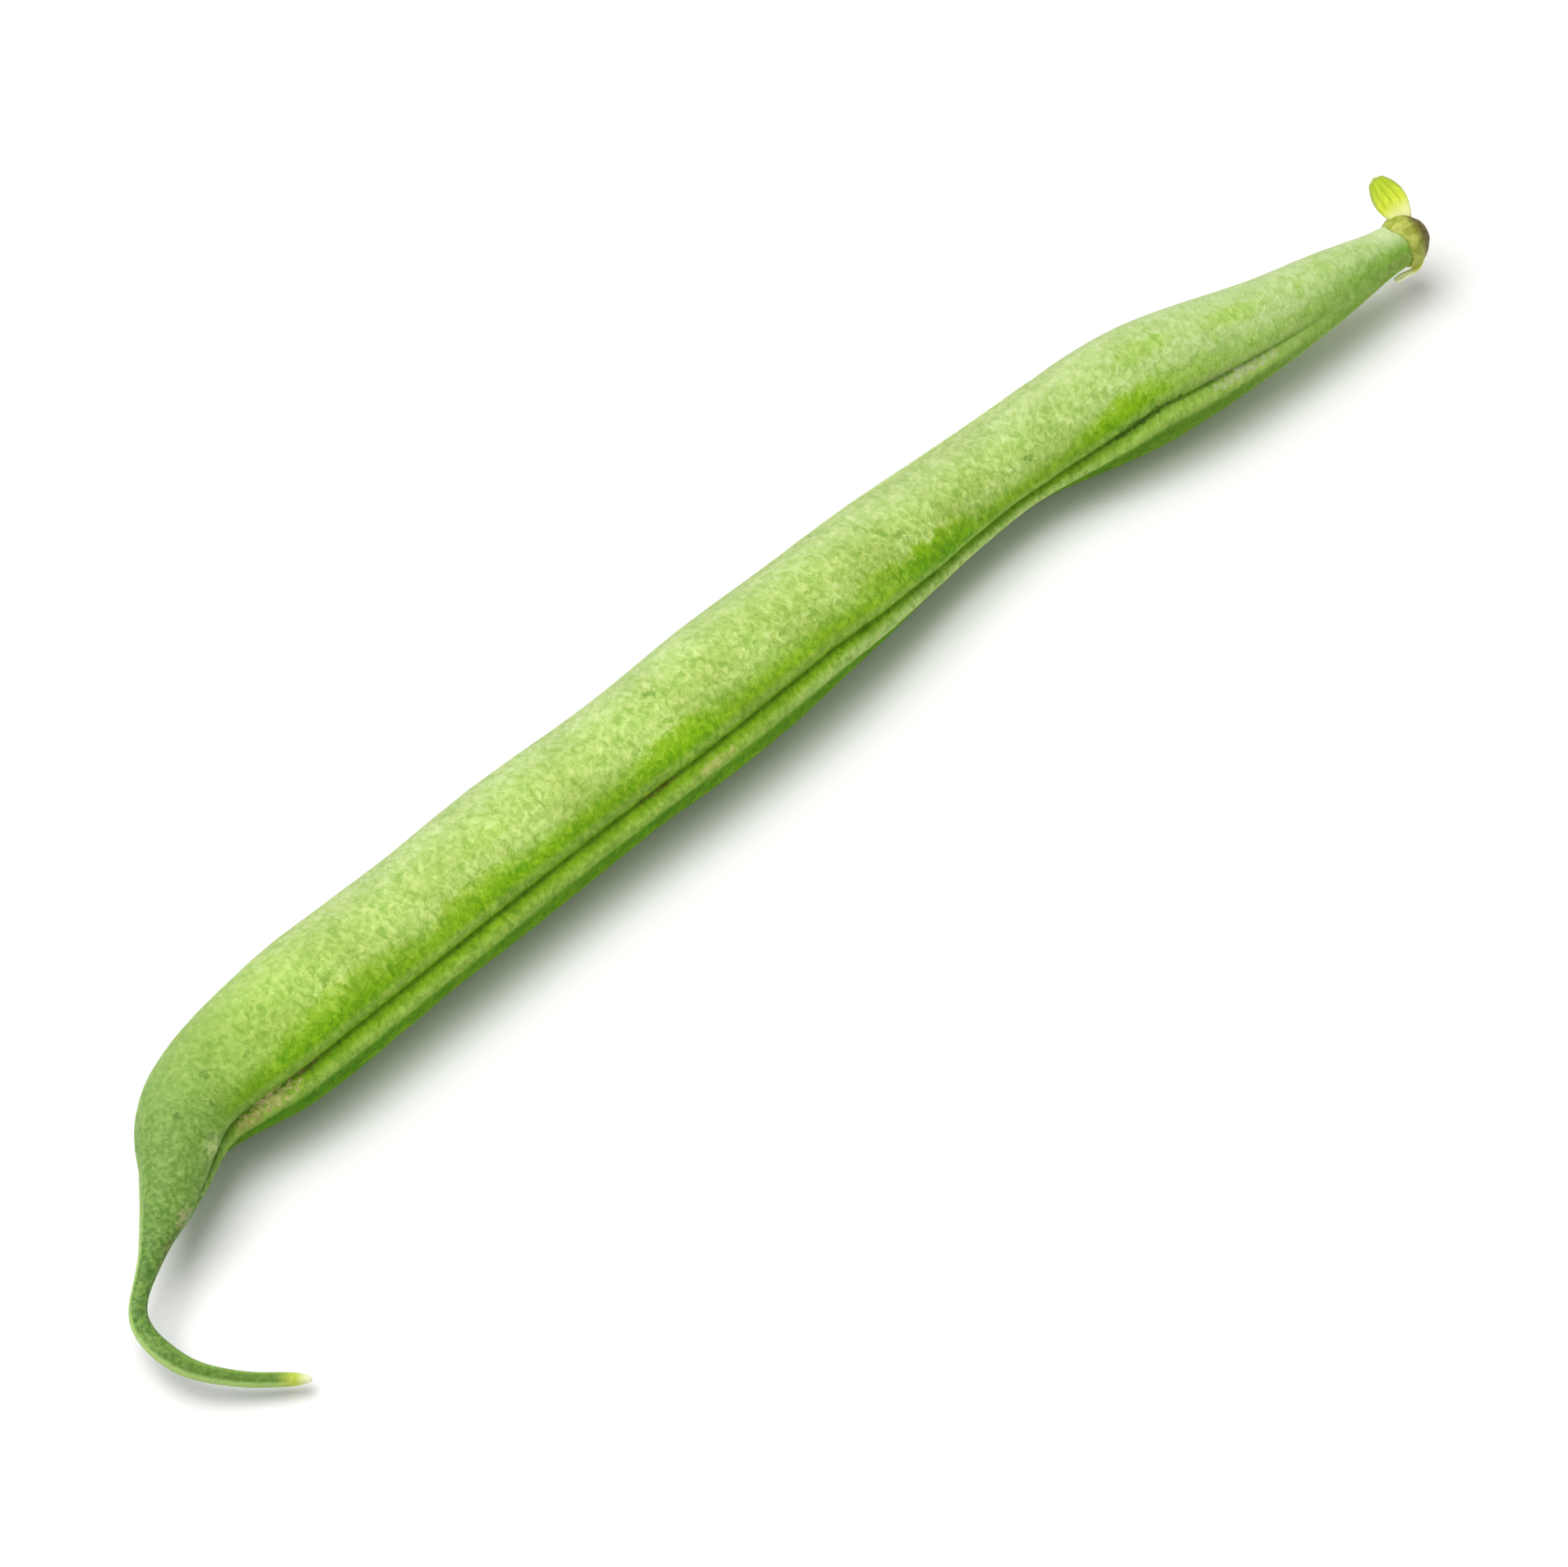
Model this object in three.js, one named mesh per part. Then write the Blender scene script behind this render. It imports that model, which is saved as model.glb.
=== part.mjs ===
// A fresh green bean with its beak and calyx, lying on a surface. Millimetres, +Z up.
// The pod lies along X, with its stem end at +X and its hooked beak at -X.

import {
  Box3,
  CatmullRomCurve3,
  ExtrudeGeometry,
  Group,
  LatheGeometry,
  MathUtils,
  Matrix4,
  Mesh,
  MeshStandardMaterial,
  Shape,
  SplineCurve,
  Vector2,
  Vector3,
} from 'three';

const { degToRad, smoothstep } = MathUtils;
const UP = new Vector3(0, 0, 1);

// ---- Driving dimensions ----

// The middle line of the pod and its beak, from the stem end to the beak's tip.
const MIDDLE_LINE = [
  [52.3, 6.85, 4.2],
  [48.2, 7.3, 4.15],
  [42.4, 8.05, 4.0],
  [33.6, 9.8, 3.8],
  [24.7, 11.0, 3.8],
  [15.7, 10.8, 3.9],
  [5.8, 10.0, 4.1],
  [-4.2, 9.5, 4.1],
  [-14.2, 9.3, 4.1],
  [-24.2, 8.9, 4.1],
  [-34.2, 8.4, 4.1],
  [-41.1, 7.8, 4.1],
  [-45.1, 4.9, 3.9],
  [-48.7, 2.2, 3.4],
  [-51.65, -0.35, 2.8],
  [-51.8, -3.7, 2.3],
  [-49.5, -6.4, 1.6],
  [-46.5, -9.0, 1.1],
];

// Half the pod's thickness at distances along the middle line.
const HALF_THICKNESS = [
  [0.4, 1.4],
  [4, 2.15],
  [10, 2.95],
  [16, 3.75],
  [21, 3.85],
  [28.5, 3.35],
  [35, 3.55],
  [43, 4.05],
  [51, 4.3],
  [62, 4.3],
  [74, 4.4],
  [86, 4.35],
  [90.5, 3.9],
  [94, 3.2],
  [97.5, 2.25],
  [101, 1.2],
  [104, 0.65],
  [107, 0.5],
  [110, 0.55],
  [114, 0.57],
];
const FULL_HALF_THICKNESS = 4.3;
const BEAK_TIP_HALF_THICKNESS = 0.45;
const BEAK_TIP_LENGTH = 0.6;

// The two sutures, where the valves meet. The ventral one shows high on the -Y side.
const VENTRAL_SUTURE_ANGLE = degToRad(32);
const VENTRAL_CLEFT_DEPTH = 0.3;
const DORSAL_CLEFT_DEPTH = 0.12;
const CLEFT_HALF_WIDTH = degToRad(6);
const SHOULDER_HEIGHT = 0.12;
const SHOULDER_ANGLE = degToRad(17);
const SHOULDER_HALF_WIDTH = degToRad(9);
const SUTURE_START = [2, 12];
const SUTURE_END = [98, 106];

// The seeds swell both valves a little.
const SEED_PITCH = 16.3;
const FIRST_SEED = 20.5;
const SEED_BULGE = 0.1;
const SEEDS_FADE_IN = [12, 18];
const SEEDS_FADE_OUT = [91, 97];

const POD_SIDES = 28;
const RING_SPACING = 1.0;
const CROWDING_AT_SUTURES = 0.2;

// The calyx cup at the stem end, with the scar of the broken stalk in its end.
const CALYX_RADIUS = 1.75;
const CALYX_LENGTH = 2.5;
const CALYX_GAP = 0.3;
const CALYX_SIDES = 28;

// The two bracteoles on the calyx. angle is where a blade stands round the cup, up from its -Y
// side, and onward is how far it stands past the cup's middle, away from the pod.
const LEAF_THICKNESS = 0.6;
const LEAF_GAP = 0.3;
const UPPER_LEAF = {
  length: 2.3,
  width: 2.0,
  baseWidth: 1.7,
  curl: 0.12,
  angle: degToRad(130),
  onward: 0.4,
};
const LOWER_LEAF = {
  length: 2.6,
  width: 1.3,
  baseWidth: 0.9,
  curl: 0,
  angle: degToRad(-84),
  onward: 1.2,
};

// ---- Materials ----

const podGreen = new MeshStandardMaterial({ color: 0x7fae4a, roughness: 0.55, metalness: 0 });
const calyxOlive = new MeshStandardMaterial({ color: 0x9b8f3c, roughness: 0.7, metalness: 0 });
const leafYellow = new MeshStandardMaterial({ color: 0xc9dc4a, roughness: 0.6, metalness: 0 });

// ---- The pod and its beak ----

const middle = new CatmullRomCurve3(
  MIDDLE_LINE.map((point) => new Vector3(...point)),
  false,
  'catmullrom',
  0.5,
);
middle.arcLengthDivisions = 2000;
const podLength = middle.getLength();

// The place and directions of the middle line at a distance from the stem end. side points to
// the -Y side of the pod and to the inside of the beak's hook.
function frameAt(distance) {
  const share = MathUtils.clamp(distance / podLength, 0, 1);
  const along = middle.getTangentAt(share);
  const side = new Vector3().crossVectors(UP, along).normalize();
  const up = new Vector3().crossVectors(along, side);
  return { point: middle.getPointAt(share), along, side, up };
}

// The straight pod's half outline, from the middle of its stem end to the tip of its beak.
function podProfile() {
  const end = podLength - BEAK_TIP_LENGTH;
  const stations = [...HALF_THICKNESS, [end, BEAK_TIP_HALF_THICKNESS]];
  const outline = new SplineCurve(stations.map(([distance, half]) => new Vector2(half, distance)));
  const [stemEdge, stemHalf] = HALF_THICKNESS[0];
  const points = [new Vector2(0, 0), new Vector2(stemHalf - stemEdge, 0)];
  points.push(...outline.getSpacedPoints(Math.round(end / RING_SPACING)));
  const tipSteps = 4;
  for (let step = 1; step <= tipSteps; step += 1) {
    const turn = (step / tipSteps) * (Math.PI / 2);
    const half = BEAK_TIP_HALF_THICKNESS * Math.cos(turn);
    points.push(new Vector2(step === tipSteps ? 0 : half, end + BEAK_TIP_LENGTH * Math.sin(turn)));
  }
  return points;
}

// A bell of height 1 at an angle, with the angle taken the short way round.
function bell(angle, middleAngle, halfWidth) {
  const away = Math.atan2(Math.sin(angle - middleAngle), Math.cos(angle - middleAngle));
  return Math.exp(-((away / halfWidth) ** 2));
}

// How far the skin stands out of the round section. The angle runs from the ventral suture.
function relief(angle, distance, half) {
  const fade = smoothstep(distance, ...SUTURE_START) * (1 - smoothstep(distance, ...SUTURE_END));
  const size = half / FULL_HALF_THICKNESS;
  const shoulders =
    bell(angle, SHOULDER_ANGLE, SHOULDER_HALF_WIDTH) + bell(angle, -SHOULDER_ANGLE, SHOULDER_HALF_WIDTH);
  const sutures =
    SHOULDER_HEIGHT * shoulders -
    VENTRAL_CLEFT_DEPTH * bell(angle, 0, CLEFT_HALF_WIDTH) -
    DORSAL_CLEFT_DEPTH * bell(angle, Math.PI, CLEFT_HALF_WIDTH);
  const seeded = smoothstep(distance, ...SEEDS_FADE_IN) * (1 - smoothstep(distance, ...SEEDS_FADE_OUT));
  const seeds = Math.cos((2 * Math.PI * (distance - FIRST_SEED)) / SEED_PITCH) * Math.sin(angle) ** 2;
  return size * (fade * sutures + SEED_BULGE * seeded * seeds);
}

// The straight pod is turned on a lathe, then each point is set round the middle line. The rings'
// points stand closer together at both sutures, and what would lie below the surface lies on it.
function podGeometry() {
  const geometry = new LatheGeometry(podProfile(), POD_SIDES);
  const position = geometry.attributes.position;
  for (let i = 0; i < position.count; i += 1) {
    const distance = position.getY(i);
    const half = Math.hypot(position.getX(i), position.getZ(i));
    const even = Math.atan2(position.getX(i), position.getZ(i));
    const angle = even - CROWDING_AT_SUTURES * Math.sin(2 * even);
    const reach = half + (half > BEAK_TIP_HALF_THICKNESS ? relief(angle, distance, half) : 0);
    const { point, side, up } = frameAt(distance);
    const turned = VENTRAL_SUTURE_ANGLE + angle;
    point.addScaledVector(side, reach * Math.cos(turned)).addScaledVector(up, reach * Math.sin(turned));
    position.setXYZ(i, point.x, point.y, Math.max(point.z, 0));
  }
  return geometry;
}

// ---- The calyx ----

// The cup carries on along the end of the pod. out is along its axis, away from the pod.
const stem = frameAt(0);
const out = stem.along.clone().negate();
const cupBase = stem.point.clone().addScaledVector(out, CALYX_GAP);
const cupMiddle = cupBase.clone().addScaledVector(out, 0.45 * CALYX_LENGTH);

// The direction out from the cup's axis at an angle up from its -Y side.
function aroundCup(angle) {
  return stem.side.clone().multiplyScalar(Math.cos(angle)).addScaledVector(stem.up, Math.sin(angle));
}

// A squat cup with a rolled rim round the pod's end and a shallow pit where the stalk broke off.
function calyxGeometry() {
  const outline = new SplineCurve([
    new Vector2(0.76 * CALYX_RADIUS, 0),
    new Vector2(0.94 * CALYX_RADIUS, 0.14 * CALYX_LENGTH),
    new Vector2(CALYX_RADIUS, 0.4 * CALYX_LENGTH),
    new Vector2(0.86 * CALYX_RADIUS, 0.72 * CALYX_LENGTH),
    new Vector2(0.58 * CALYX_RADIUS, 0.93 * CALYX_LENGTH),
    new Vector2(0.38 * CALYX_RADIUS, CALYX_LENGTH),
    new Vector2(0.24 * CALYX_RADIUS, 0.9 * CALYX_LENGTH),
  ]);
  const points = [new Vector2(0, 0), ...outline.getPoints(18), new Vector2(0, 0.84 * CALYX_LENGTH)];
  const geometry = new LatheGeometry(points, CALYX_SIDES);
  geometry.applyMatrix4(new Matrix4().makeBasis(stem.side, out, stem.up));
  return geometry.translate(...cupBase);
}

// ---- The two bracteoles ----

// A small blade of even thickness. It grows along +Y from its base at the origin to a blunt tip,
// and its edges bend towards +Z.
function leafGeometry({ length, width, baseWidth, curl }) {
  const halfTip = 0.18 * width;
  const lowBulge = new Vector2(0.62 * width, 0.3 * length);
  const highBulge = new Vector2(0.6 * width, 0.8 * length);
  const blade = new Shape();
  blade.moveTo(-baseWidth / 2, 0);
  blade.lineTo(baseWidth / 2, 0);
  blade.bezierCurveTo(lowBulge.x, lowBulge.y, highBulge.x, highBulge.y, halfTip, length);
  blade.lineTo(-halfTip, length);
  blade.bezierCurveTo(-highBulge.x, highBulge.y, -lowBulge.x, lowBulge.y, -baseWidth / 2, 0);
  const geometry = new ExtrudeGeometry(blade, {
    depth: LEAF_THICKNESS,
    bevelEnabled: false,
    curveSegments: 8,
  });
  geometry.translate(0, 0, -LEAF_THICKNESS / 2);
  const position = geometry.attributes.position;
  for (let i = 0; i < position.count; i += 1) {
    position.setZ(i, position.getZ(i) + curl * position.getX(i) ** 2);
  }
  return geometry;
}

// Sets a blade with its base at a point, growing along grow, with its upper face towards face.
function placeLeaf(geometry, base, grow, face) {
  const along = grow.clone().normalize();
  const across = new Vector3().crossVectors(along, face).normalize();
  const normal = new Vector3().crossVectors(across, along);
  return geometry.applyMatrix4(new Matrix4().makeBasis(across, along, normal)).translate(...base);
}

// The point beside the cup where a blade's base stands, clear of the cup.
function besideCup({ angle, onward }, clearance) {
  return cupMiddle
    .clone()
    .addScaledVector(out, onward)
    .addScaledVector(aroundCup(angle), CALYX_RADIUS + clearance);
}

// It stands on the cup's upper far side and leans back, with its broad face up and to the front.
function upperBracteole() {
  const base = besideCup(UPPER_LEAF, 0.8 * LEAF_GAP);
  const grow = new Vector3(0.06, 0.74, 0.7);
  const face = new Vector3(-0.38, -0.41, 0.83);
  return placeLeaf(leafGeometry(UPPER_LEAF), base, grow, face);
}

// It lies flat under the cup and points back along the pod, its tip a little lower.
function lowerBracteole() {
  const base = besideCup(LOWER_LEAF, LEAF_GAP + LEAF_THICKNESS / 2);
  const away = aroundCup(LOWER_LEAF.angle);
  const grow = out.clone().negate().addScaledVector(away, 0.1);
  return placeLeaf(leafGeometry(LOWER_LEAF), base, grow, away);
}

// ---- The bean ----

function named(name, geometry, material) {
  const mesh = new Mesh(geometry, material);
  mesh.name = name;
  return mesh;
}

const bean = new Group();
bean.add(named('pod', podGeometry(), podGreen));
bean.add(named('calyx', calyxGeometry(), calyxOlive));
bean.add(named('bracteole_upper', upperBracteole(), leafYellow));
bean.add(named('bracteole_lower', lowerBracteole(), leafYellow));

// The origin is under the middle of the whole bean, on the surface it lies on.
const box = new Box3().setFromObject(bean, true);
bean.position.set(-(box.min.x + box.max.x) / 2, -(box.min.y + box.max.y) / 2, -box.min.z);

export default bean;
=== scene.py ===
"""A whole fresh green bean lying on its side, with its beak, calyx and bracteoles."""

import math

import bpy
from mathutils import Matrix, Quaternion, Vector


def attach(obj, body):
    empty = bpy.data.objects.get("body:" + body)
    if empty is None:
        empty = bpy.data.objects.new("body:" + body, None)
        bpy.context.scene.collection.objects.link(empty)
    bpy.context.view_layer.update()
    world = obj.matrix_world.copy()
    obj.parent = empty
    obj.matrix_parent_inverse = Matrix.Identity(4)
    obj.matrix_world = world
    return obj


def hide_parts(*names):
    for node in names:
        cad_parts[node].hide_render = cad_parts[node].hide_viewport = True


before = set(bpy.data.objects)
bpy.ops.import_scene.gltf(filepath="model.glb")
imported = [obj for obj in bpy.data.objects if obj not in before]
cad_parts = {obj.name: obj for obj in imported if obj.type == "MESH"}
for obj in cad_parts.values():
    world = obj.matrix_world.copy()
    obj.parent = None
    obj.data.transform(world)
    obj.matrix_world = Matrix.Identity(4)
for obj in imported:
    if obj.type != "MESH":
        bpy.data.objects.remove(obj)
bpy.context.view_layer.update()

# ---- The line that the bean lies along ----
# A bean isn't straight: it sags and bows as it grows, and its beak hooks round at the end.
# This line runs through the middle of the pod from its stem end to the tip of its beak.

MM = 0.001
# Where the middle of the bean's box is from the point that the line's places are measured from.
BOX_MIDDLE = Vector((1.39, 2.67, 0.0))
# Each point's place in millimetres, and how far up the ventral suture stands there, in degrees.
MIDDLE_LINE = [
    (52.3, 6.85, 4.2, 20),
    (48.2, 7.3, 4.15, 20),
    (42.4, 8.05, 4.0, 23),
    (33.6, 9.8, 3.8, 26),
    (24.7, 11.0, 3.8, 2),
    (15.7, 10.8, 3.9, 3),
    (5.8, 10.0, 4.1, 22),
    (-4.2, 9.5, 4.1, 23),
    (-14.2, 9.3, 4.1, 22),
    (-24.2, 8.9, 4.1, 22),
    (-34.2, 8.4, 4.1, 22),
    (-41.1, 7.8, 4.1, 16),
    (-45.1, 4.9, 3.9, 3),
    (-48.7, 2.2, 3.4, -4),
    (-51.65, -0.35, 2.8, -4),
    (-51.6, -3.78, 2.3, -4),
    (-49.6, -6.46, 1.58, -4),
    (-46.5, -8.99, 1.1, -4),
]

STEPS_FROM_POINT_TO_POINT = 40

line_points = [(Vector(row[:3]) - BOX_MIDDLE) * MM for row in MIDDLE_LINE]
suture_angles = [math.radians(row[3]) for row in MIDDLE_LINE]

bpy.ops.object.select_all(action="DESELECT")
bpy.ops.curve.primitive_bezier_curve_add()
middle_line = bpy.context.object
middle_line.name = "middle_line"
middle_line.data.dimensions = "3D"
middle_line.data.twist_mode = "Z_UP"
middle_line.data.resolution_u = STEPS_FROM_POINT_TO_POINT
bends = middle_line.data.splines[0].bezier_points
bends.add(len(line_points) - len(bends))
for i, point in enumerate(line_points):
    # Past each end, the line goes on as it came.
    before = line_points[i - 1] if i > 0 else 2 * point - line_points[1]
    after = line_points[i + 1] if i + 1 < len(line_points) else 2 * point - line_points[-2]
    bends[i].co = point
    bends[i].handle_left_type = bends[i].handle_right_type = "FREE"
    bends[i].handle_left = point - (after - before) / 6
    bends[i].handle_right = point + (after - before) / 6
    bends[i].tilt = suture_angles[i]


# ---- The pod and its beak ----
# One juicy fruit of two valves that meet along a ventral and a dorsal suture. The seeds inside
# swell it a little, and the dried style of the flower is left at its end as the hooked beak.

POD_SIDES = 24
RING_SPACING = 1.5
# Smoothing draws a ring of this many sides in by this share, so each ring starts larger.
SMOOTHING_LOSS = (4 + 2 * math.cos(2 * math.pi / POD_SIDES)) / 6
# Half the pod's thickness at distances from its stem end. It starts inside the calyx.
POD_THICKNESS = [
    (-2.0, 1.0),
    (-1.6, 1.3),
    (-0.9, 1.46),
    (0.4, 1.5),
    (4, 2.15),
    (10, 2.95),
    (16, 3.75),
    (21, 3.78),
    (28.5, 3.22),
    (35, 3.44),
    (43, 4.02),
    (51, 4.28),
    (62, 4.25),
    (74, 4.3),
    (86, 4.3),
    (90.5, 3.93),
    (94, 3.25),
    (97.5, 2.3),
    (101, 1.25),
    (104, 0.64),
    (106.4, 0.47),
    (108.4, 0.58),
    (110.4, 0.62),
    (112.6, 0.5),
    (116, 0.43),
    (117.2, 0.42),
    (117.9, 0.34),
    (118.3, 0.24),
    (118.5, 0.12),
]
FULL_HALF_THICKNESS = 4.3
CLEFT_LOOPS = 4
CLEFT_LOOPS_SHARE = 45
SUBDIVISIONS = 2
# Points closer to a line than this are on it.
ON_THE_LINE = 0.02
# Along the pod, where the sutures and the seeds start and end, each from nothing to full.
SUTURES_START, SUTURES_END = (3, 15), (99, 107)
SEEDS_START, SEEDS_END = (12, 18), (91, 97)
SEED_PITCH = 16.3
FIRST_SEED = 20.5
SEED_BULGE = 0.10
DIP_BETWEEN_SEEDS = 0.12
# Each lip, hollow and cleft along a suture: height, degrees round from the suture, half width.
VENTRAL_RELIEF = [
    (0.06, 17, 8),
    (0.17, -13, 7),
    (-0.08, -32, 10),
    (-0.26, 1, 7),
    (-0.20, 0, 3),
]
DORSAL_RELIEF = [
    (0.08, 14, 8),
    (-0.22, 0, 4.5),
]
# Each bump where the pod narrows: height, then distance and half length, angle and half width.
NECK_BUMPS = [
    (0.3, (100.8, 1.8), (10, 30)),
    (0.14, (97.0, 0.45), (22, 10)),
]
# The ridge down the back of the beak: its height, its half width, where it starts and ends.
RIDGE_HEIGHT = 0.05
RIDGE_HALF_WIDTH = 20
RIDGE_START, RIDGE_END = (97, 103), (113, 117)
# Each kind of unevenness: its size and its height.
UNEVENNESS = {"slow_dents": (5, 0.13), "fine_puckers": (1.1, 0.04)}


def smooth_rings(stations, spacing):
    """The rings from station to station, on a smooth curve through them."""
    points = [Vector(station) for station in stations]
    rings = [points[0]]
    for i in range(len(points) - 1):
        start, end = points[i], points[i + 1]
        leave = (end - points[max(i - 1, 0)]) / 2
        arrive = (points[min(i + 2, len(points) - 1)] - start) / 2
        steps = max(1, round((end.x - start.x) / spacing))
        for step in range(1, steps + 1):
            t = step / steps
            rings.append(
                start * (2 * t**3 - 3 * t**2 + 1)
                + leave * (t**3 - 2 * t**2 + t)
                + end * (3 * t**2 - 2 * t**3)
                + arrive * (t**3 - t**2)
            )
    return rings


def edit(piece, selected):
    """Starts to edit the piece, with the vertices selected whose place passes the test."""
    bpy.context.view_layer.objects.active = piece
    bpy.ops.object.mode_set(mode="EDIT")
    bpy.ops.mesh.select_mode(type="VERT")
    bpy.ops.mesh.select_all(action="DESELECT")
    bpy.ops.object.mode_set(mode="OBJECT")
    for vertex in piece.data.vertices:
        vertex.select = selected(vertex.co)
    bpy.ops.object.mode_set(mode="EDIT")


def apply_modifier(piece, kind, **settings):
    """Gives the piece a modifier with these settings and applies it."""
    bpy.context.view_layer.objects.active = piece
    modifier = piece.modifiers.new(kind.lower(), kind)
    for name, value in settings.items():
        setattr(modifier, name, value)
    bpy.ops.object.modifier_apply(modifier=modifier.name)


def push(piece, height, share, **settings):
    """Moves the skin out by height times the share at each place."""
    group = piece.vertex_groups.new(name="pushed")
    for vertex in piece.data.vertices:
        group.add([vertex.index], share(vertex.co), "REPLACE")
    settings = {"mid_level": 0.0, **settings}
    apply_modifier(piece, "DISPLACE", strength=height * MM, vertex_group="pushed", **settings)
    piece.vertex_groups.remove(piece.vertex_groups["pushed"])


def bell(value, middle, half_width):
    """A bell of height 1 at the middle."""
    return math.exp(-(((value - middle) / half_width) ** 2))


def fade(value, start, end):
    """Goes smoothly from 0 at the start to 1 at the end."""
    t = min(max((value - start) / (end - start), 0.0), 1.0)
    return t * t * (3 - 2 * t)


def around(place):
    """The angle round the straight pod in degrees, from its ventral suture."""
    return math.degrees(math.atan2(place.z, place.y))


def around_back(place):
    """The angle round the straight pod in degrees, from its dorsal suture."""
    return 180 - abs(around(place))


def size_here(place):
    """How thick the pod is here, as a share of its full thickness."""
    return math.hypot(place.y, place.z) / MM / FULL_HALF_THICKNESS


def between(place, start, end):
    """1 between the start and the end of a stretch along the pod, and 0 outside it."""
    return fade(place.x / MM, *start) * (1 - fade(place.x / MM, *end))


def has_suture(place):
    """1 along the pod, going to 0 at both its ends."""
    return size_here(place) * between(place, SUTURES_START, SUTURES_END)


def has_seeds(place):
    """1 over the sides of the pod where its seeds lie, and 0 at its sutures and ends."""
    sides = math.sin(math.radians(around(place))) ** 2
    return size_here(place) * sides * between(place, SEEDS_START, SEEDS_END)


def seed_wave(place):
    """1 at the middle of each seed and 0 between the seeds."""
    return 0.5 + 0.5 * math.cos(2 * math.pi * (place.x / MM - FIRST_SEED) / SEED_PITCH)


rings = smooth_rings(POD_THICKNESS, RING_SPACING)
bpy.ops.object.select_all(action="DESELECT")
bpy.ops.mesh.primitive_circle_add(
    vertices=POD_SIDES,
    radius=rings[0].y * MM / SMOOTHING_LOSS,
    fill_type="NGON",
    location=(rings[0].x * MM, 0, 0),
    rotation=(0, math.pi / 2, 0),
)
pod = bpy.context.object
pod.name = "pod_skin"
bpy.ops.object.transform_apply(location=True, rotation=True, scale=True)
bpy.ops.object.mode_set(mode="EDIT")
for last, ring in zip(rings, rings[1:]):
    ratio = ring.y / last.y
    bpy.ops.mesh.extrude_region_move(
        TRANSFORM_OT_translate={"value": ((ring.x - last.x) * MM, 0, 0)}
    )
    bpy.ops.transform.resize(value=(1, ratio, ratio), center_override=(ring.x * MM, 0, 0))
bpy.ops.mesh.select_all(action="SELECT")
bpy.ops.mesh.normals_make_consistent(inside=False)

# Both sutures get four narrow strips along them, for their clefts and lips.
edit(pod, lambda place: abs(place.z) < ON_THE_LINE * MM)
bpy.ops.mesh.select_mode(type="EDGE")
bpy.ops.mesh.bevel(
    offset_type="PERCENT",
    offset_pct=CLEFT_LOOPS_SHARE,
    segments=CLEFT_LOOPS,
    affect="EDGES",
)
bpy.ops.object.mode_set(mode="OBJECT")
apply_modifier(pod, "SUBSURF", levels=SUBDIVISIONS, render_levels=SUBDIVISIONS)

# The seeds, the clefts with their rounded lips, and the ridge that runs out along the beak.
push(pod, SEED_BULGE, lambda place: has_seeds(place) * seed_wave(place))
push(pod, -DIP_BETWEEN_SEEDS, lambda place: has_seeds(place) * (1 - seed_wave(place)))
for height, turn, half_width in VENTRAL_RELIEF:
    push(pod, height, lambda place: has_suture(place) * bell(around(place), turn, half_width))
for height, turn, half_width in DORSAL_RELIEF:
    push(pod, height, lambda place: has_suture(place) * bell(around_back(place), turn, half_width))
for height, along, turned in NECK_BUMPS:
    push(pod, height, lambda place: bell(place.x / MM, *along) * bell(around(place), *turned))
push(
    pod,
    RIDGE_HEIGHT,
    lambda place: between(place, RIDGE_START, RIDGE_END)
    * bell(around_back(place), 0, RIDGE_HALF_WIDTH),
)

# No skin is quite even: it has slow dents and fine puckers, fainter where it is thin.
for kind, (size, height) in UNEVENNESS.items():
    cloud = bpy.data.textures.new(kind, "CLOUDS")
    cloud.noise_scale = size * MM
    push(
        pod,
        height,
        lambda place: 0.25 + 0.75 * size_here(place),
        mid_level=0.5,
        texture=cloud,
        texture_coords="LOCAL",
    )

# The place on the straight pod, in millimetres, is kept for the skin's pattern to follow.
straight = pod.data.attributes.new("straight_place", "FLOAT_VECTOR", "POINT")
for vertex in pod.data.vertices:
    straight.data[vertex.index].vector = vertex.co / MM

apply_modifier(pod, "CURVE", object=middle_line, deform_axis="POS_X")
bpy.data.objects.remove(middle_line)

# Its own weight presses it flat where it lies on the surface.
edit(pod, lambda place: place.z < 0)
bpy.ops.transform.resize(value=(1, 1, 0), center_override=(0, 0, 0))
bpy.ops.object.mode_set(mode="OBJECT")
bpy.ops.object.select_all(action="DESELECT")
pod.select_set(True)
bpy.ops.object.shade_smooth()


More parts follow.
